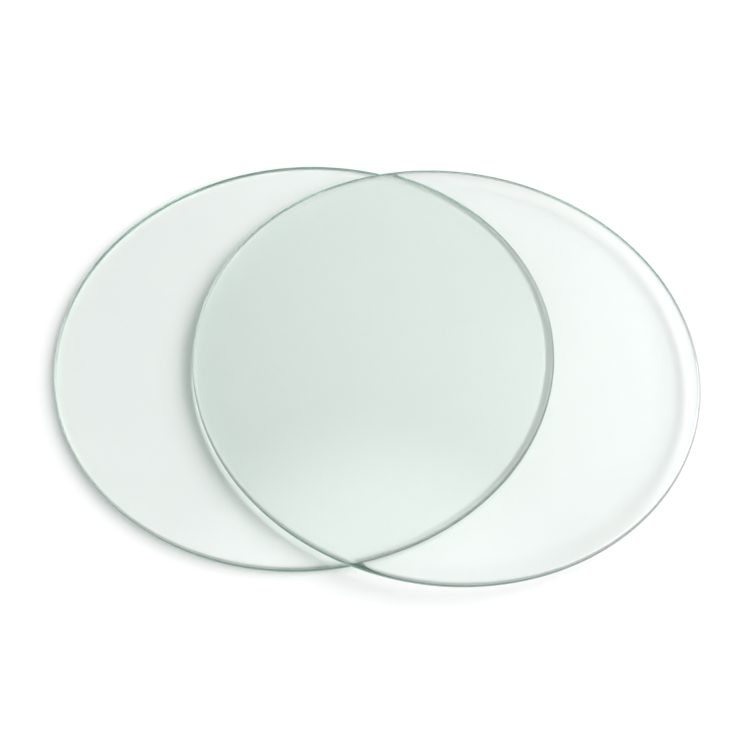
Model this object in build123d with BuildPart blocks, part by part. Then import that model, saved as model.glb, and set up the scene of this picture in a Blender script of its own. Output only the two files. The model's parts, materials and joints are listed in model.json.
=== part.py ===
from build123d import *
import os

# Pair of flat watch glasses: two equal discs of clear glass with rounded, polished rims. The
# lower one lies on the table. The upper one lies flat on it, moved sideways, so that both
# show. Nothing joins them, and the upper one lifts straight off.
#
# Millimetres, +Z up. The origin is on the table, under the middle of the pair. +X runs
# from the lower glass's centre towards the upper glass's centre.

# Driving dimensions
DIAMETER = 100.0    # across each glass
THICKNESS = 2.0     # of each glass, face to face
RIM_ROUND = 0.8     # radius ground and polished on both edges of a rim
SPREAD = 28.0       # along X, from the lower glass's centre to the upper glass's centre
AIR_GAP = 0.04      # film of air between the glasses, where dust keeps them apart

# Where each glass lies: its centre along X, and the height of its underside
PLACES = {
    "lower_glass": (-SPREAD / 2, 0.0),
    "upper_glass": (SPREAD / 2, THICKNESS + AIR_GAP),
}

os.makedirs("parts", exist_ok=True)

for name, (center_x, underside_z) in PLACES.items():
    # A disc cut from flat sheet, then rounded on the two circular edges of its rim
    with BuildPart() as glass:
        with BuildSketch(Plane.XY.offset(underside_z)):
            with Locations((center_x, 0)):
                Circle(DIAMETER / 2)
        extrude(amount=THICKNESS)
        fillet(glass.edges().filter_by(GeomType.CIRCLE), radius=RIM_ROUND)
    glass.part.label = name
    export_step(glass.part, f"parts/{name}.step")
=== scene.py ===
"""Two flat watch glasses, one laid on the other, on a plain white table.

Everything is in metres, in the frame of the CAD model: +Z up, the table at z = 0, +X from
the lower glass's centre towards the upper glass's centre.
"""

import json
import math

import bpy
from mathutils import Euler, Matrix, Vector


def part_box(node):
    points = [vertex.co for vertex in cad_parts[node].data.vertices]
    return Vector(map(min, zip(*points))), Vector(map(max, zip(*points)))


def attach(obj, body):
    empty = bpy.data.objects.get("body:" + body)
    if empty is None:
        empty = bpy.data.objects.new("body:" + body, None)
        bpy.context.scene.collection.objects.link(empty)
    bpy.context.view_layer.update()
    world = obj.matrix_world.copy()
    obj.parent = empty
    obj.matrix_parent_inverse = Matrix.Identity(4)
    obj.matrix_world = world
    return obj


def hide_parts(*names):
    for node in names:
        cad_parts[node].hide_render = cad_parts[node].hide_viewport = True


MM = 0.001

# Glass meshes
SEGMENTS = 512          # round the rim
ROUND_STEPS = 16        # across each rounded edge of the rim
RIM_BAND = 3            # width of the rim's part of the mesh, in roundings of the edge
FACE_RINGS = (0.35, 0.7, 0.92)  # rings across a face, as shares of the radius inside that band

# Glass
GLASS_IOR = 1.52
FACE_TINT = (0.936, 0.951, 0.942)
# Painted shade: the steep part of the rim is painted dark grey to stand in for the thin dark lines that
# refraction and shade give along the glass's edges
RIM_PAINTED_SHADE = (0.28, 0.29, 0.285)
RIM_SHADE_LEVEL = 0.7         # how level a surface is, as |normal z|, where it still has all the rim's painted shade
FACE_LEVEL = 0.97       # and where it has only the face's colour, with none of the rim's painted shade
BODY_COLOUR = (0.06, 0.91, 0.60)
BODY_DENSITY = 6.5      # per metre

# Table
TABLE_COLOUR = (0.86, 0.86, 0.86)
TABLE_ROUGHNESS = 0.9
TABLE_SHINE = 0.1
TABLE_RADIUS = 6.0
TABLE_SIDES = 128
TABLE_GAP = 0.03 * MM   # film of air under the lower glass

# Light
WINDOW_TURN = math.radians(-4)  # round from +X
WINDOW_RISE = math.radians(38)  # above the table
WINDOW_AWAY = 3.0
WINDOW_PLACE = Vector((
    math.cos(WINDOW_TURN) * math.cos(WINDOW_RISE),
    math.sin(WINDOW_TURN) * math.cos(WINDOW_RISE),
    math.sin(WINDOW_RISE),
)) * WINDOW_AWAY
WINDOW_SIZE = (4.6, 2.0)
WINDOW_POWER = 113              # watts
LIGHT_BOUNCES = 96
ROOM_DIM = 0.52                 # strength of the room outside its soft parts
# Soft parts of the room: direction, degrees of full effect, degrees to none, strength added
ROOM_LOBES = (
    ((0.0, 0.0, -1.0), 90, 120, -0.47),
    ((-0.15, 0.55, 0.82), 20, 50, -0.2),
    ((-0.5, 0.45, 0.74), 12, 38, -0.4),
    ((0.55, 0.42, 0.72), 8, 32, 0.65),
    ((-0.02, 0.24, 0.97), 6, 18, 1.1),
    ((0.05, 0.74, 0.67), 6, 30, 0.55),
    ((0.1, -0.5, 0.86), 10, 55, 0.4),
)

# Camera
AZIMUTH = 4.59          # degrees round the object; 0 looks along +Y
ELEVATION = 55.88       # degrees above the table
ROLL = 2.04             # degrees anticlockwise, as the camera sees it
DISTANCE = 144.16 * MM  # from the camera to the point it looks at
TARGET = Vector((0.83, -8.19, 0)) * MM
LENS = 34.83            # millimetres
SENSOR = 36             # millimetres across
CLIP = (0.01, 20)


def new_material(name):
    """An empty node material: its nodes, its links, its output and its Principled shader."""
    material = bpy.data.materials.new(name)
    material.use_nodes = True
    nodes, links = material.node_tree.nodes, material.node_tree.links
    nodes.clear()
    output = nodes.new("ShaderNodeOutputMaterial")
    shader = nodes.new("ShaderNodeBsdfPrincipled")
    links.new(shader.outputs["BSDF"], output.inputs["Surface"])
    return material, nodes, links, output, shader


def glass_material():
    """Clear float glass with a faint green body. Its rim is painted darker grey: painted shade that stands
    in for the thin dark lines that refraction and shade give along the edge.
    """
    material, nodes, links, output, shader = new_material("float_glass")
    shader.inputs["IOR"].default_value = GLASS_IOR
    shader.inputs["Roughness"].default_value = 0
    shader.inputs["Transmission Weight"].default_value = 1
    geometry = nodes.new("ShaderNodeNewGeometry")
    apart = nodes.new("ShaderNodeSeparateXYZ")
    links.new(geometry.outputs["Normal"], apart.inputs["Vector"])
    tilt = nodes.new("ShaderNodeMath")
    tilt.operation = "ABSOLUTE"
    links.new(apart.outputs["Z"], tilt.inputs[0])
    # Mask for the rim's painted shade: 0 on the steep rim, 1 on the level faces
    face = nodes.new("ShaderNodeMapRange")
    face.inputs["From Min"].default_value = RIM_SHADE_LEVEL
    face.inputs["From Max"].default_value = FACE_LEVEL
    links.new(tilt.outputs["Value"], face.inputs["Value"])
    # Painted shade on the rim, blended with the faces' own colour by that mask
    rim_shade_and_face_colour = nodes.new("ShaderNodeMix")
    rim_shade_and_face_colour.data_type = "RGBA"
    rim_shade_and_face_colour.inputs["A"].default_value = (*RIM_PAINTED_SHADE, 1)
    rim_shade_and_face_colour.inputs["B"].default_value = (*FACE_TINT, 1)
    links.new(face.outputs["Result"], rim_shade_and_face_colour.inputs["Factor"])
    links.new(rim_shade_and_face_colour.outputs["Result"], shader.inputs["Base Color"])
    body = nodes.new("ShaderNodeVolumeAbsorption")
    body.inputs["Color"].default_value = (*BODY_COLOUR, 1)
    body.inputs["Density"].default_value = BODY_DENSITY
    links.new(body.outputs["Volume"], output.inputs["Volume"])
    return material


def table_material():
    """Matt white board."""
    material, nodes, links, output, shader = new_material("white_table")
    shader.inputs["Base Color"].default_value = (*TABLE_COLOUR, 1)
    shader.inputs["Roughness"].default_value = TABLE_ROUGHNESS
    shader.inputs["Specular IOR Level"].default_value = TABLE_SHINE
    return material


def quarter(centre, radius, start):
    """A quarter turn clockwise about centre, as (radius, height) points, from an angle in radians."""
    angles = [start - math.pi / 2 * step / ROUND_STEPS for step in range(ROUND_STEPS + 1)]
    return [centre + Vector((math.cos(angle), math.sin(angle))) * radius for angle in angles]


def rim_outline(radius, thickness, rim_round):
    """A rim's outline in section, as (radius, height) points, from the top face round to the bottom."""
    inner = radius - rim_round
    upper = quarter(Vector((inner, thickness - rim_round)), rim_round, math.pi / 2)
    lower = quarter(Vector((inner, rim_round)), rim_round, 0)
    flat = radius - RIM_BAND * rim_round
    return [Vector((flat, thickness)), *upper, *lower, Vector((flat, 0))]


def glass_mesh(name, centre, radius, thickness, rim_round):
    """A closed disc, turned round its own axis from the outline of its rim."""
    rim = rim_outline(radius, thickness, rim_round)
    inner = rim[0].x
    top = [Vector((inner * share, thickness)) for share in FACE_RINGS]
    bottom = [Vector((inner * share, 0)) for share in reversed(FACE_RINGS)]
    outline = top + rim + bottom
    points = [(centre.x, centre.y, centre.z + thickness)]
    for point in outline:
        for segment in range(SEGMENTS):
            angle = 2 * math.pi * segment / SEGMENTS
            x = centre.x + point.x * math.cos(angle)
            y = centre.y + point.x * math.sin(angle)
            points.append((x, y, centre.z + point.y))
    points.append(tuple(centre))
    last = len(points) - 1

    def at(ring, segment):
        return 1 + ring * SEGMENTS + segment % SEGMENTS

    faces = []
    rings = len(outline)
    for segment in range(SEGMENTS):
        faces.append((0, at(0, segment), at(0, segment + 1)))
        faces.append((last, at(rings - 1, segment + 1), at(rings - 1, segment)))
        for ring in range(rings - 1):
            faces.append((
                at(ring, segment), at(ring + 1, segment),
                at(ring + 1, segment + 1), at(ring, segment + 1),
            ))
    mesh = bpy.data.meshes.new(name)
    mesh.from_pydata(points, [], faces)
    mesh.validate()
    mesh.shade_smooth()
    return mesh


def make_glass(node, material, rim_mount):
    """The finished piece for one CAD glass, in the same place and of the same size."""
    low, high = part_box(node)
    mount = next(m for m in frame["record"]["mounts"] if m["name"] == rim_mount)
    radius = mount["dims"]["r_mm"] * MM
    thickness = high.z - low.z
    rim_round = (thickness - mount["dims"]["length_mm"] * MM) / 2
    centre = Vector((mount["pos_m"][0], mount["pos_m"][1], low.z))
    piece = bpy.data.objects.new(
        node + "_clear", glass_mesh(node + "_clear", centre, radius, thickness, rim_round)
    )
    bpy.context.scene.collection.objects.link(piece)
    piece.data.materials.append(material)
    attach(piece, node)
    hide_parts(node)
    return piece


def make_table():
    """A plain white surface. It fills the main view, and its far edge shows in low views."""
    bpy.ops.mesh.primitive_circle_add(
        vertices=TABLE_SIDES, radius=TABLE_RADIUS, fill_type="NGON", location=(0, 0, -TABLE_GAP)
    )
    table = bpy.context.object
    table.name = "table"
    table.data.materials.append(table_material())


def area_light(name, place, aim, size, power, colour):
    """A soft rectangular light at place, facing aim. Its power is in watts."""
    light = bpy.data.lights.new(name, "AREA")
    light.shape = "RECTANGLE"
    light.size, light.size_y = size
    light.energy = power
    light.color = colour
    lamp = bpy.data.objects.new(name, light)
    lamp.location = place
    lamp.rotation_euler = (Vector(aim) - Vector(place)).to_track_quat("-Z", "Y").to_euler()
    bpy.context.scene.collection.objects.link(lamp)


def sky_lobe(nodes, links, direction, inner, outer):
    """How far each direction of the room lies inside a soft lobe: 1 within inner degrees, 0 past outer."""
    place = nodes.new("ShaderNodeTexCoord")
    along = nodes.new("ShaderNodeVectorMath")
    along.operation = "DOT_PRODUCT"
    along.inputs[1].default_value = Vector(direction).normalized()
    fade = nodes.new("ShaderNodeMapRange")
    fade.interpolation_type = "SMOOTHSTEP"
    fade.inputs["From Min"].default_value = math.cos(math.radians(outer))
    fade.inputs["From Max"].default_value = math.cos(math.radians(inner))
    links.new(place.outputs["Generated"], along.inputs[0])
    links.new(along.outputs["Value"], fade.inputs["Value"])
    return fade.outputs["Result"]


def make_lights():
    """A window on the right, and a room that is brightest overhead and dark towards the horizon."""
    area_light("window", WINDOW_PLACE, (0, 0, 0), WINDOW_SIZE, WINDOW_POWER, (1, 1, 1))
    world = bpy.data.worlds.new("room")
    bpy.context.scene.world = world
    world.use_nodes = True
    nodes, links = world.node_tree.nodes, world.node_tree.links
    total = None
    for direction, inner, outer, amount in ROOM_LOBES:
        lobe = sky_lobe(nodes, links, direction, inner, outer)
        scaled = nodes.new("ShaderNodeMath")
        scaled.operation = "MULTIPLY_ADD"
        links.new(lobe, scaled.inputs[0])
        scaled.inputs[1].default_value = amount
        if total is None:
            scaled.inputs[2].default_value = ROOM_DIM
        else:
            links.new(total, scaled.inputs[2])
        total = scaled.outputs["Value"]
    # Where the camera sees past the table the room is white. Elsewhere it is no darker than black.
    ray = nodes.new("ShaderNodeLightPath")
    lit = nodes.new("ShaderNodeMath")
    lit.operation = "MAXIMUM"
    links.new(total, lit.inputs[0])
    links.new(ray.outputs["Is Camera Ray"], lit.inputs[1])
    nodes["Background"].inputs["Color"].default_value = (1, 1, 1, 1)
    links.new(lit.outputs["Value"], nodes["Background"].inputs["Strength"])


def set_light_paths():
    """Let light run inside the glass, and reach the table through it without being blurred."""
    paths = bpy.context.scene.cycles
    paths.blur_glossy = 0
    paths.sample_clamp_indirect = 0
    paths.max_bounces = LIGHT_BOUNCES
    paths.glossy_bounces = LIGHT_BOUNCES
    paths.transmission_bounces = LIGHT_BOUNCES


def make_camera():
    """The main view's camera, placed round its target."""
    camera = bpy.data.cameras.new("camera")
    camera.lens = LENS
    camera.sensor_width = SENSOR
    camera.clip_start, camera.clip_end = CLIP
    holder = bpy.data.objects.new("camera", camera)
    around, up = math.radians(AZIMUTH), math.radians(ELEVATION)
    back = Vector((math.sin(around) * math.cos(up), -math.cos(around) * math.cos(up), math.sin(up)))
    holder.location = TARGET + back * DISTANCE
    facing = (-back).to_track_quat("-Z", "Y")
    roll = Euler((0, 0, math.radians(ROLL))).to_quaternion()
    holder.rotation_euler = (facing @ roll).to_euler()
    bpy.context.scene.collection.objects.link(holder)
    bpy.context.scene.camera = holder


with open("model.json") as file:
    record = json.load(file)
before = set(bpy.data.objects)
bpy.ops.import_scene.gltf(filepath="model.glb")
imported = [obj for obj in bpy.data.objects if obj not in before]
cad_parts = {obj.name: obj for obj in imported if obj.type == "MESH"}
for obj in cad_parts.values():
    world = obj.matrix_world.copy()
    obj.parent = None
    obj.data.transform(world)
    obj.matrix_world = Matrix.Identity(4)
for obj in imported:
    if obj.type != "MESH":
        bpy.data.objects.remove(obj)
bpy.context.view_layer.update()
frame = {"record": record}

float_glass = glass_material()
make_glass("lower_glass", float_glass, "lower_rim")
make_glass("upper_glass", float_glass, "upper_rim")
make_table()
make_lights()
make_camera()
set_light_paths()
bpy.context.scene.view_settings.view_transform = "Standard"
